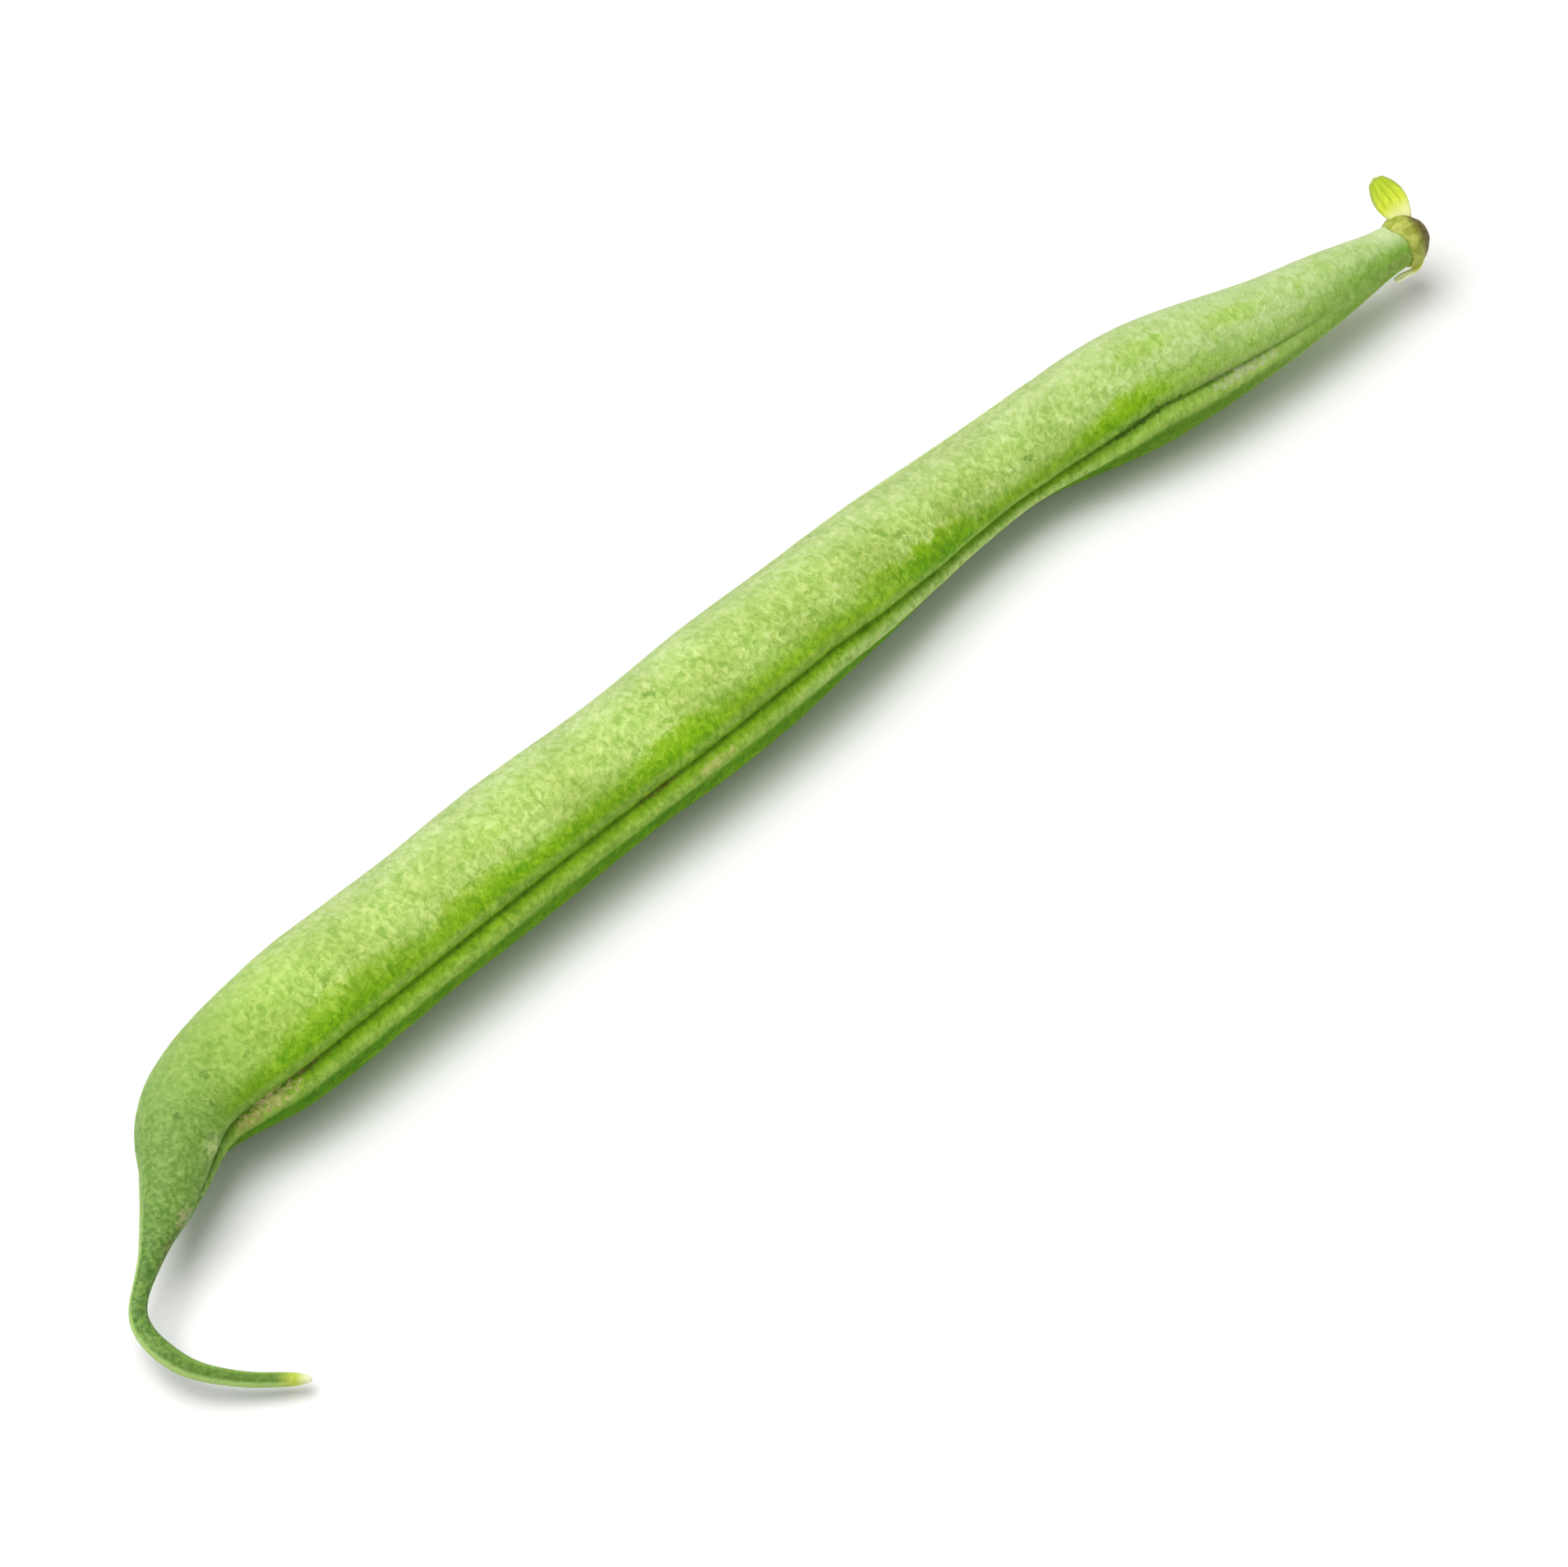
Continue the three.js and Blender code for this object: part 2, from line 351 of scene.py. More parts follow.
class Shader:
    """A material's nodes, put together one call at a time."""

    def __init__(self, name):
        self.material = bpy.data.materials.new(name)
        self.material.use_nodes = True
        self.tree = self.material.node_tree
        self.skin = self.tree.nodes["Principled BSDF"]

    def node(self, kind, inputs, **settings):
        made = self.tree.nodes.new("ShaderNode" + kind)
        for name, value in settings.items():
            setattr(made, name, value)
        for name, value in inputs.items():
            self.join(value, made.inputs[name])
        return made

    def join(self, value, socket):
        """Links a node's output to the socket, or sets the socket to a plain value."""
        if isinstance(value, bpy.types.NodeSocket):
            self.tree.links.new(value, socket)
        else:
            socket.default_value = value

    def math(self, operation, *values):
        inputs = dict(enumerate(values))
        return self.node("Math", inputs, operation=operation).outputs[0]

    def ramp(self, value, start, end, low=0.0, high=1.0):
        """Goes smoothly from low, where the value is start, to high, where it is end."""
        inputs = {"Value": value, "From Min": start, "From Max": end}
        inputs.update({"To Min": low, "To Max": high})
        made = self.node("MapRange", inputs, interpolation_type="SMOOTHSTEP")
        return made.outputs["Result"]

    def band(self, value, middle, half_width):
        """1 at the middle, going smoothly to 0 at the half width on both sides."""
        away = self.math("ABSOLUTE", self.math("SUBTRACT", value, middle))
        return self.ramp(away, half_width, 0.0)

    def noise(self, place, scale, detail=2.0, roughness=0.5, distortion=0.0):
        inputs = {"Vector": place, "Scale": scale, "Detail": detail, "Roughness": roughness}
        return self.node("TexNoise", {**inputs, "Distortion": distortion}).outputs["Fac"]

    def stretched(self, place, scale):
        return self.node("Mapping", {"Vector": place, "Scale": scale}).outputs["Vector"]

    def spot(self, distance, angle, middle, reach, raggedness):
        """1 in the middle of a mark on the pod, going raggedly to 0 at its edge."""
        away = raggedness
        for value, start, length in zip((distance, angle), middle, reach):
            steps = self.math("DIVIDE", self.math("SUBTRACT", value, start), length)
            away = self.math("MULTIPLY_ADD", steps, steps, away)
        return self.ramp(away, 1.0, 0.0)

    def mix(self, share, first, second, blend="MIX"):
        made = self.node("Mix", {0: share}, data_type="RGBA", blend_type=blend)
        self.join(first, made.inputs[6])
        self.join(second, made.inputs[7])
        return made.outputs[2]

    def tint(self, share, colour, tint):
        """The colour, with its red, green and blue each multiplied by the tint's."""
        return self.mix(share, colour, (*tint, 1.0), "MULTIPLY")


def paint(red, green, blue):
    """A colour as it looks, each part from 0 to 255, made linear light."""
    linear = [((c / 255 + 0.055) / 1.055) ** 2.4 for c in (red, green, blue)]
    return (*linear, 1.0)


# The skin is velvety: a green ground under countless fine flecks. Below, distances are in
# millimetres from the stem end, and angles in degrees up round the pod from its ventral suture.
skin = Shader("pod_skin")
straight_place = skin.node("Attribute", {}, attribute_name="straight_place").outputs["Vector"]
parts = skin.node("SeparateXYZ", {"Vector": straight_place}).outputs
distance = parts["X"]
radians_round = skin.math("ARCTAN2", parts["Z"], parts["Y"])
angle = skin.math("MULTIPLY", radians_round, math.degrees(1))
dorsal_away = skin.math("SUBTRACT", 180, skin.math("ABSOLUTE", angle))
sutured = skin.math("MULTIPLY", skin.ramp(distance, 3, 13), skin.ramp(distance, 100, 94))
beakward = skin.ramp(distance, 85, 100)

clouds = skin.ramp(skin.noise(straight_place, 0.3, 3.0), 0.36, 0.64)
blotches = skin.noise(straight_place, 0.9, 3.0)
flecks = skin.noise(skin.stretched(straight_place, (2.7, 2.0, 2.0)), 1.0, 2.0, 0.5, 0.6)
fine_flecks = skin.noise(skin.stretched(straight_place, (6, 4.5, 4.5)), 1.0, 2.0)

colour = skin.mix(clouds, paint(167, 194, 93), paint(180, 208, 109))
# Towards the stem it is greyer, with fresher blotches.
stemward = skin.ramp(distance, 34, 8)
colour = skin.mix(skin.math("MULTIPLY", stemward, 0.7), colour, paint(180, 203, 136))
fresher = skin.math("MULTIPLY", stemward, skin.ramp(blotches, 0.5, 0.66))
colour = skin.mix(skin.math("MULTIPLY", fresher, 0.4), colour, paint(160, 194, 72))
# Over the top it is paler: partly the bloom of fine hairs, partly painted sheen where the light
# falls.
top_bloom_and_sheen = skin.band(angle, 110, 54)
colour = skin.mix(skin.math("MULTIPLY", top_bloom_and_sheen, 0.45), colour, paint(190, 206, 154))
# Farther round, past the top, it is duller.
past_top = skin.band(angle, 122, 26)
colour = skin.tint(past_top, colour, (0.86, 0.87, 0.8))
# Painted shade: a darker green just under the calyx, on the side of the suture.
calyx_shade = skin.math("MULTIPLY", skin.ramp(distance, 9, 2), skin.band(angle, 22, 48))
colour = skin.tint(calyx_shade, colour, (0.66, 0.82, 0.5))
# It deepens where the pod narrows. The beak is darker still, and yellower past its bend.
shoulder = skin.band(distance, 92, 14)
colour = skin.tint(shoulder, colour, (0.88, 0.95, 0.62))
neck_flecks = skin.noise(skin.stretched(straight_place, (3.6, 3.0, 3.0)), 1.0, 2.0)
speckle = skin.ramp(neck_flecks, 0.36, 0.66)
neck_colour = skin.mix(speckle, paint(98, 138, 56), paint(130, 166, 82))
beak_colour = skin.mix(speckle, paint(60, 106, 36), paint(114, 152, 68))
neck_colour = skin.mix(skin.ramp(distance, 99, 105), neck_colour, beak_colour)
colour = skin.mix(skin.math("MULTIPLY", beakward, 0.88), colour, neck_colour)
hooked = skin.math("MULTIPLY", skin.ramp(distance, 108, 113), 0.6)
colour = skin.mix(hooked, colour, paint(96, 130, 44))

# The skin is a deeper green beside the ventral suture and over the lower valve: partly its own
# colour, partly painted shade, which is strongest over the lower valve.
deepening_and_shade = skin.ramp(distance, 8, 30, 0.5, 1.0)
deepening_and_shade = skin.math("MULTIPLY", deepening_and_shade, skin.ramp(angle, -172, -88))
beside_suture_and_shade = skin.math("MULTIPLY", skin.ramp(angle, 42, 17), deepening_and_shade)
beside_suture_and_shade = skin.math("MULTIPLY", beside_suture_and_shade, skin.ramp(distance, 99, 91))
colour = skin.tint(beside_suture_and_shade, colour, (0.58, 0.78, 0.09))
# Over the lower valve this deepening is mostly painted shade.
lower_valve_green_and_shade = skin.math("MULTIPLY", skin.ramp(angle, -6, -27), skin.ramp(angle, -48, -30, 0.7, 1.0))
lower_valve_green_and_shade = skin.math("MULTIPLY", lower_valve_green_and_shade, skin.ramp(blotches, 0.25, 0.6, 0.75, 1.0))
colour = skin.tint(skin.math("MULTIPLY", lower_valve_green_and_shade, deepening_and_shade), colour, (0.4, 0.58, 0.08))

# Fresh green patches lie beside the suture, and the last row is painted shade on the lower valve
# near the stem: distance, angle, reach along and round, strength.
FRESH_PATCHES_AND_SHADE = [
    (21.6, 19, 4.8, 23, 1.0),
    (21.9, 16, 3.4, 12, 0.35),
    (37.3, 23, 4.2, 25, 1.0),
    (37.2, 26, 4.1, 24, 0.75),
    (41.8, 34, 2.4, 13, 0.75),
    (58.4, 23, 4.6, 22, 0.95),
    (67.5, 15, 7.0, 16, 0.75),
    (73.8, 25, 4.2, 19, 0.8),
    (84.5, 25, 6.6, 23, 0.75),
    (12.0, 58, 3.2, 16, 0.4),
    (18.6, 62, 2.6, 14, 0.4),
    (62.5, -26, 5.0, 14, 0.6),
    (85.5, -24, 4.5, 16, 0.6),
    (71.5, 58, 2.4, 10, 0.25),
    # Painted shade on the lower valve near the stem.
    (17.0, -40, 9.0, 22, 0.5),
]
soft_edge = skin.math("MULTIPLY_ADD", skin.math("ADD", blotches, flecks), 1.1, -1.1)
for along, turn, reach_along, reach_round, strength in FRESH_PATCHES_AND_SHADE:
    patch = skin.spot(distance, angle, (along, turn), (reach_along, reach_round), soft_edge)
    colour = skin.tint(skin.math("MULTIPLY", patch, strength), colour, (0.75, 0.9, 0.13))

# Near the stem the lower valve is darker and greyer: painted shade.
stem_shade = skin.spot(distance, angle, (17, -36), (12, 26), 0.0)
colour = skin.tint(stem_shade, colour, (0.7, 0.75, 0.7))

# The cleft is dark with painted shade, which reaches a little way up its upper side. Both its lips
# are smoother and lighter with painted highlight, the lower one above all.
lower_lip_highlight = skin.math("MULTIPLY", skin.ramp(angle, -24, -12), skin.ramp(angle, -4, -10))
lower_lip_highlight = skin.math("MULTIPLY", lower_lip_highlight, sutured)
colour = skin.mix(skin.math("MULTIPLY", lower_lip_highlight, 0.5), colour, paint(176, 206, 98))
upper_lip_highlight = skin.math("MULTIPLY", skin.band(angle, 10, 8), sutured)
colour = skin.mix(skin.math("MULTIPLY", upper_lip_highlight, 0.22), colour, paint(188, 208, 120))
# Painted highlight along the lower lip over the middle of the pod.
pale_lip_highlight = skin.spot(distance, angle, (37, -14), (17, 13), 0.0)
colour = skin.mix(skin.math("MULTIPLY", pale_lip_highlight, 0.8), colour, paint(184, 210, 122))
shade = skin.math("MULTIPLY", skin.band(angle, 1, 13), sutured)
colour = skin.tint(skin.math("MULTIPLY", shade, 0.5), colour, (0.6, 0.7, 0.4))
# Painted shade in the cleft itself.
cleft_shade = skin.math("MULTIPLY", skin.band(angle, 0, 3.5), sutured)
colour = skin.tint(cleft_shade, colour, (0.55, 0.68, 0.35))
dorsal = skin.math("MULTIPLY", skin.band(dorsal_away, 0, 4), sutured)
colour = skin.tint(dorsal, colour, (0.5, 0.62, 0.4))

# Scuffs, healed scars and other marks, with painted shade in the cleft in the last row: distance,
# angle, reach along and round, strength, colour.
rough_edge = skin.math("MULTIPLY_ADD", skin.noise(straight_place, 3.4, 3.0), 5.0, -2.5)
SCARS_AND_SHADE = [
    # An olive darkening beside the calyx.
    (0.6, -8, 1.5, 22, 0.45, paint(124, 140, 50)),
    (12.9, -5, 2.8, 6.5, 0.7, paint(182, 190, 142)),
    (14.8, 4, 1.4, 4, 0.4, paint(170, 160, 120)),
    (88.8, 1, 2.6, 4.5, 0.75, paint(108, 104, 44)),
    (90.8, -4, 2.3, 8, 0.8, paint(188, 186, 114)),
    (93.0, -7, 1.7, 9, 0.8, paint(166, 160, 92)),
    (97.0, 22, 0.8, 14, 0.6, paint(190, 208, 128)),
    (96.6, 30, 0.5, 8, 0.6, paint(80, 116, 46)),
    (101.2, 18, 0.9, 22, 0.6, paint(178, 172, 128)),
    (102.8, 12, 1.4, 24, 0.5, paint(116, 112, 66)),
    (93.2, 62, 0.38, 6, 0.5, paint(70, 112, 30)),
    (96.2, 74, 0.38, 7, 0.5, paint(70, 112, 30)),
    (90.6, 46, 0.34, 5, 0.45, paint(86, 124, 36)),
    (94.6, 40, 0.34, 6, 0.45, paint(76, 118, 36)),
    (39.0, 58, 0.4, 6, 0.55, paint(96, 136, 34)),
    (57.8, 72, 0.4, 6, 0.5, paint(96, 136, 34)),
    (28.6, 46, 0.34, 5, 0.5, paint(96, 136, 44)),
    (84.6, 48, 0.34, 5, 0.5, paint(96, 136, 34)),
    (60.9, 0, 1.8, 3, 0.6, paint(112, 90, 42)),
    (57.0, -9, 1.8, 5, 0.4, paint(196, 188, 116)),
    # Painted shade that deepens the cleft here.
    (20.8, 2, 4.2, 5.5, 0.75, paint(66, 100, 26)),
]
for along, turn, reach_along, reach_round, strength, mark_colour in SCARS_AND_SHADE:
    mark_mask = skin.spot(distance, angle, (along, turn), (reach_along, reach_round), rough_edge)
    colour = skin.mix(skin.math("MULTIPLY", mark_mask, strength), colour, mark_colour)

# Pale and dark flecks, plainer in some places than in others, with painted glints on the side that
# faces the light.
plainness = skin.ramp(blotches, 0.3, 0.7, 0.65, 1.0)
for share, full, kept in ((beakward, 1, 0.5), (stemward, 1, 0.6), (top_bloom_and_sheen, 0.7, 0.7)):
    plainness = skin.math("MULTIPLY", plainness, skin.ramp(share, 0, full, 1, kept))
painted_glint_area = skin.math("MULTIPLY", skin.band(angle, 47, 20), skin.band(distance, 38, 32))
pale_flecks = skin.math("MULTIPLY", skin.ramp(flecks, 0.48, 0.7), plainness)
dark_flecks = skin.math("MULTIPLY", skin.ramp(flecks, 0.52, 0.32), plainness)
colour = skin.tint(pale_flecks, colour, (1.32, 1.22, 1.6))
colour = skin.tint(dark_flecks, colour, (0.67, 0.79, 0.53))
# Painted highlights: small glints on the palest flecks.
painted_glints = skin.math("MULTIPLY", skin.ramp(flecks, 0.58, 0.68), painted_glint_area)
colour = skin.tint(skin.math("MULTIPLY", painted_glints, 0.5), colour, (1.25, 1.18, 1.7))
mottling = skin.ramp(skin.noise(straight_place, 1.3, 2.0), 0.35, 0.65)
colour = skin.tint(1.0, colour, (1.05, 1.03, 1.08))
colour = skin.tint(mottling, colour, (0.89, 0.94, 0.84))

# A pale collar shows at the calyx. A painted highlight runs as a pale edge round the back of the
# beak, and a fainter one inside the beak's bend. The dry tip is yellow, then cream.
collar = skin.math("MULTIPLY", skin.ramp(distance, 1.3, 0.3), skin.band(angle, 85, 75))
colour = skin.mix(skin.math("MULTIPLY", collar, 0.55), colour, paint(206, 222, 170))
beak_rim_highlight = skin.math("MULTIPLY", skin.ramp(dorsal_away, 52, 20), skin.ramp(distance, 97, 104))
colour = skin.mix(skin.math("MULTIPLY", beak_rim_highlight, 0.8), colour, paint(180, 210, 124))
inner_rim_highlight = skin.math("MULTIPLY", skin.band(angle, 58, 36), skin.ramp(distance, 108, 112))
colour = skin.mix(skin.math("MULTIPLY", inner_rim_highlight, 0.6), colour, paint(152, 190, 92))
yellowing = skin.ramp(distance, 116.2, 117.7)
colour = skin.mix(yellowing, colour, paint(194, 208, 84))
tip = skin.ramp(distance, 117.5, 118.35)
colour = skin.mix(tip, colour, paint(246, 247, 204))

skin.join(colour, skin.skin.inputs["Base Color"])
skin.join(skin.ramp(angle, 20, -30, 0.5, 0.85), skin.skin.inputs["Roughness"])
skin.skin.inputs["Specular IOR Level"].default_value = 0.14
skin.skin.inputs["Subsurface Weight"].default_value = 0.12
skin.skin.inputs["Subsurface Radius"].default_value = (0.6, 1.0, 0.25)
skin.skin.inputs["Subsurface Scale"].default_value = 1.0 * MM
height = skin.math("MULTIPLY_ADD", fine_flecks, 0.4, flecks)
bump = skin.node("Bump", {"Height": height, "Strength": 0.9, "Distance": 0.15 * MM})
skin.join(bump.outputs["Normal"], skin.skin.inputs["Normal"])
pod.data.materials.append(skin.material)

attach(pod, "root")
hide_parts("pod")


# ---- The calyx ----
# What is left of the flower's green cup: a thin, woody cup that clasps the pod's end. Its rim has
# shallow lobes, and its closed end bears the scar where the stalk broke off.

CALYX_SIDES = 24
CALYX_GAP = 0.3
# Half the cup's thickness at distances out from its rim, then the pit of the scar.
CALYX_OUTLINE = [
    (0.05, 1.5),
    (0.3, 1.63),
    (0.7, 1.73),
    (1.1, 1.75),
    (1.5, 1.66),
    (1.9, 1.44),
    (2.18, 1.16),
    (2.32, 0.98),
    (2.46, 0.88),
    (2.54, 0.74),
    (2.48, 0.58),
    (2.26, 0.46),
    (2.1, 0.32),
    (2.06, 0.14),
]
CALYX_WALL = 0.2
# Where the rim stands back between its lobes: the angle up from the pod's -Y side, and how far.
CALYX_NOTCHES = [(52, 0.5), (8, 0.62), (-40, 0.45), (160, 0.3), (215, 0.4)]
NOTCH_REACH = 20
NOTCH_SPREAD = 1.1
# A point is at the rim if it is no farther out than this many times the rim's own place.
AT_THE_RIM = 1.3

stem_end = line_points[0]
out = (line_points[0] - line_points[1]).normalized()
across = Vector((0, 0, 1)).cross(out).normalized()
upward = out.cross(across)
calyx_rim = stem_end + out * CALYX_GAP * MM


def set_down(piece, place, forward, sideways, upward):
    """Sets down a piece that was modelled at the origin, turned to these directions."""
    turn = Matrix((forward, sideways, upward)).transposed().to_4x4()
    piece.matrix_world = Matrix.Translation(place) @ turn
    bpy.ops.object.select_all(action="DESELECT")
    piece.select_set(True)
    bpy.context.view_layer.objects.active = piece
    bpy.ops.object.transform_apply(location=True, rotation=True, scale=True)
    bpy.ops.object.shade_smooth()


def keep_place(piece, unit):
    """Keeps each point's place in the piece as it is now, for its pattern to follow."""
    kept = piece.data.attributes.new("straight_place", "FLOAT_VECTOR", "POINT")
    for vertex in piece.data.vertices:
        kept.data[vertex.index].vector = vertex.co / unit


bpy.ops.object.select_all(action="DESELECT")
bpy.ops.mesh.primitive_circle_add(
    vertices=CALYX_SIDES,
    radius=CALYX_OUTLINE[0][1] * MM,
    fill_type="NOTHING",
    location=(CALYX_OUTLINE[0][0] * MM, 0, 0),
    rotation=(0, math.pi / 2, 0),
)
calyx = bpy.context.object
calyx.name = "calyx_cup"
bpy.ops.object.transform_apply(location=True, rotation=True, scale=True)
bpy.ops.object.mode_set(mode="EDIT")
for (last_place, last_half), (ring_place, ring_half) in zip(CALYX_OUTLINE, CALYX_OUTLINE[1:]):
    ratio = ring_half / last_half
    bpy.ops.mesh.extrude_edges_move(
        TRANSFORM_OT_translate={"value": ((ring_place - last_place) * MM, 0, 0)}
    )
    bpy.ops.transform.resize(value=(1, ratio, ratio), center_override=(ring_place * MM, 0, 0))
bpy.ops.mesh.edge_face_add()
bpy.ops.mesh.select_all(action="SELECT")
bpy.ops.mesh.normals_make_consistent(inside=False)
bpy.ops.object.mode_set(mode="OBJECT")
for notch_angle, depth in CALYX_NOTCHES:

    def in_notch(place):
        away = math.degrees(math.atan2(place.z, -place.y)) - notch_angle
        at_rim = place.x < AT_THE_RIM * CALYX_OUTLINE[0][0] * MM
        return at_rim and abs((away + 180) % 360 - 180) < NOTCH_REACH

    edit(calyx, in_notch)
    bpy.ops.transform.translate(
        value=(depth * MM, 0, 0),
        use_proportional_edit=True,
        proportional_edit_falloff="SMOOTH",
        proportional_size=NOTCH_SPREAD * MM,
    )
    bpy.ops.object.mode_set(mode="OBJECT")
apply_modifier(calyx, "SOLIDIFY", thickness=CALYX_WALL * MM, offset=-1)
apply_modifier(calyx, "SUBSURF", levels=2, render_levels=2)
keep_place(calyx, MM)
set_down(calyx, calyx_rim, out, across, upward)

# Olive and fibrous, drying to brown round the scar.
woody = Shader("calyx_skin")
cup_place = woody.node("Attribute", {}, attribute_name="straight_place").outputs["Vector"]
cup_parts = woody.node("SeparateXYZ", {"Vector": cup_place}).outputs
outward = cup_parts["X"]
off_axis = woody.math("POWER", cup_parts["Y"], 2)
off_axis = woody.math("MULTIPLY_ADD", cup_parts["Z"], cup_parts["Z"], off_axis)
off_axis = woody.math("SQRT", off_axis)
fibres = woody.noise(woody.stretched(cup_place, (0.9, 4.5, 4.5)), 1.0, 3.0, 0.6)
cup_blotches = woody.ramp(woody.noise(cup_place, 1.6, 3.0), 0.38, 0.62)
olive = woody.mix(cup_blotches, paint(150, 162, 60), paint(188, 194, 92))
olive = woody.mix(woody.ramp(fibres, 0.5, 0.34, 0, 0.35), olive, paint(108, 104, 40))
drying = woody.ramp(outward, 1.1, 2.0)
dried = woody.mix(woody.ramp(fibres, 0.4, 0.62), paint(84, 72, 26), paint(124, 112, 46))
cup_colour = woody.mix(drying, olive, dried)
# The scar's raised ring of broken fibres is paler, and its pit is dark.
at_end = woody.ramp(outward, 1.9, 2.1)
scar_ring = woody.math("MULTIPLY", woody.band(off_axis, 0.74, 0.3), at_end)
ring_colour = woody.mix(woody.ramp(fibres, 0.4, 0.6), paint(128, 112, 58), paint(178, 164, 104))
cup_colour = woody.mix(woody.math("MULTIPLY", scar_ring, 0.85), cup_colour, ring_colour)
pit = woody.math("MULTIPLY", woody.ramp(off_axis, 0.5, 0.3), at_end)
cup_colour = woody.mix(woody.math("MULTIPLY", pit, 0.8), cup_colour, paint(66, 54, 26))
woody.join(cup_colour, woody.skin.inputs["Base Color"])
woody.skin.inputs["Roughness"].default_value = 0.6
woody.skin.inputs["Specular IOR Level"].default_value = 0.2
cup_bump = woody.node("Bump", {"Height": fibres, "Strength": 0.6, "Distance": 0.1 * MM})
woody.join(cup_bump.outputs["Normal"], woody.skin.inputs["Normal"])
calyx.data.materials.append(woody.material)

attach(calyx, "root")
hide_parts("calyx")


# ---- The two bracteoles ----
# Two tiny leaves that grew at the foot of the flower and stay on the calyx. The upper one stands
# up and leans back. The lower one lies along the cup's near lower side, pointing back along the
# pod, with its root curled to the cup's closed end.

CALYX_RADIUS = 1.75
CUP_MIDDLE = 1.125
BLADE_THICKNESS = 0.24
BLADE_COLUMNS = 8
BLADE_SUBDIVISIONS = 3
# How far the middle of the tip stands out, and how wide that middle is to each side.
TIP_POINT = 0.12
TIP_HALF_WIDTH = 0.2
# How deep the veins are sunk, as a share of the blade's width, and the columns they run in.
VEIN_DEPTH = 0.03
VEIN_COLUMNS = (0, 2)
# How far each of the first rows follows the root's curl.
ROOT_CURL = [1.0, 0.55, 0.2]
# A blade's width at even steps from its root to its tip.
UPPER_WIDTHS = [0.9, 1.4, 1.86, 2.06, 2.1, 1.94, 1.54, 0.9]
LOWER_WIDTHS = [0.34, 0.42, 0.38, 0.28, 0.24, 0.36, 0.44, 0.28]


def beside_cup(angle, onward, clearance):
    """The place beside the cup at an angle up from the pod's -Y side."""
    turn = math.radians(angle)
    away = upward * math.sin(turn) - across * math.cos(turn)
    return calyx_rim + (out * (CUP_MIDDLE + onward) + away * (CALYX_RADIUS + clearance)) * MM


def bracteole(name, length, root, widths, cupping, curl, base, grow, face):
    """A blade with sunk veins that grows along grow, its root curled aside behind its base."""
    bpy.ops.object.select_all(action="DESELECT")
    bpy.ops.mesh.primitive_grid_add(
        x_subdivisions=BLADE_COLUMNS, y_subdivisions=len(widths) - 1, size=2
    )
    blade = bpy.context.object
    blade.name = name
    keep_place(blade, 1)
    rows = len(widths) - 1
    half_step = 0.3 * length / rows * MM
    for row, width in enumerate(widths):
        row_place = 2 * row / rows - 1
        edit(blade, lambda place: abs(place.y - row_place) < 0.5 / rows)
        bpy.ops.transform.resize(value=(width / 2, 1, 1), center_override=(0, 0, 0))
        bpy.ops.object.mode_set(mode="OBJECT")
    edit(blade, lambda place: True)
    bpy.ops.transform.resize(value=(MM, length / 2 * MM, MM), center_override=(0, 0, 0))
    bpy.ops.transform.translate(value=(0, (length / 2 - root) * MM, 0))
    bpy.ops.object.mode_set(mode="OBJECT")
    # The middle of the tip stands out, and the edges are cupped towards the face.
    tip_place = (length - root) * MM
    edit(blade, lambda place: place.y > tip_place * 0.98 and abs(place.x) < TIP_HALF_WIDTH * MM)
    bpy.ops.transform.translate(value=(0, TIP_POINT * MM, 0))
    bpy.ops.object.mode_set(mode="OBJECT")
    for column in range(BLADE_COLUMNS // 2 + 1):
        share = column / (BLADE_COLUMNS / 2)
        sunk = VEIN_DEPTH if column in VEIN_COLUMNS else 0
        for row, width in enumerate(widths):
            row_place = (row / rows * length - root) * MM
            column_place = share * width / 2 * MM
            edit(
                blade,
                lambda place: abs(place.y - row_place) < half_step
                and abs(abs(place.x) - column_place) < ON_THE_LINE * MM,
            )
            lift = cupping * share**2 - sunk * width
            bpy.ops.transform.translate(value=(0, 0, lift * MM))
            bpy.ops.object.mode_set(mode="OBJECT")
    for row, share in enumerate(ROOT_CURL):
        row_place = (row / rows * length - root) * MM
        edit(blade, lambda place: abs(place.y - row_place) < half_step)
        bpy.ops.transform.translate(value=(curl * share * MM, 0, 0))
        bpy.ops.object.mode_set(mode="OBJECT")
    apply_modifier(blade, "SOLIDIFY", thickness=BLADE_THICKNESS * MM, offset=0)
    apply_modifier(
        blade, "SUBSURF", levels=BLADE_SUBDIVISIONS, render_levels=BLADE_SUBDIVISIONS
    )
    along = grow.normalized()
    sideways = along.cross(face).normalized()
    set_down(blade, base, sideways, along, sideways.cross(along))
    return blade


upper_bracteole = bracteole(
    "bracteole_upper_blade",
    length=3.3,
    root=0.9,
    widths=UPPER_WIDTHS,
    cupping=0.14,
    curl=0.0,
    base=beside_cup(angle=130, onward=0.4, clearance=0.24),
    grow=Vector((-0.1, 0.88, 0.68)),
    face=Vector((-0.38, -0.41, 0.83)),
)
lower_bracteole = bracteole(
    "bracteole_lower_blade",
    length=2.6,
    root=0.05,
    widths=LOWER_WIDTHS,
    cupping=0.06,
    curl=0.72,
    base=beside_cup(angle=-50, onward=0.95, clearance=0.28),
    grow=-out + 0.04 * upward + 0.03 * across,
    face=0.85 * upward - 0.5 * across,
)

# Bright yellow green, paler at the root, with darker veins and a greyer rim.
leafy = Shader("bracteole_leaf")
blade_place = leafy.node("Attribute", {}, attribute_name="straight_place").outputs["Vector"]
blade_parts = leafy.node("SeparateXYZ", {"Vector": blade_place}).outputs
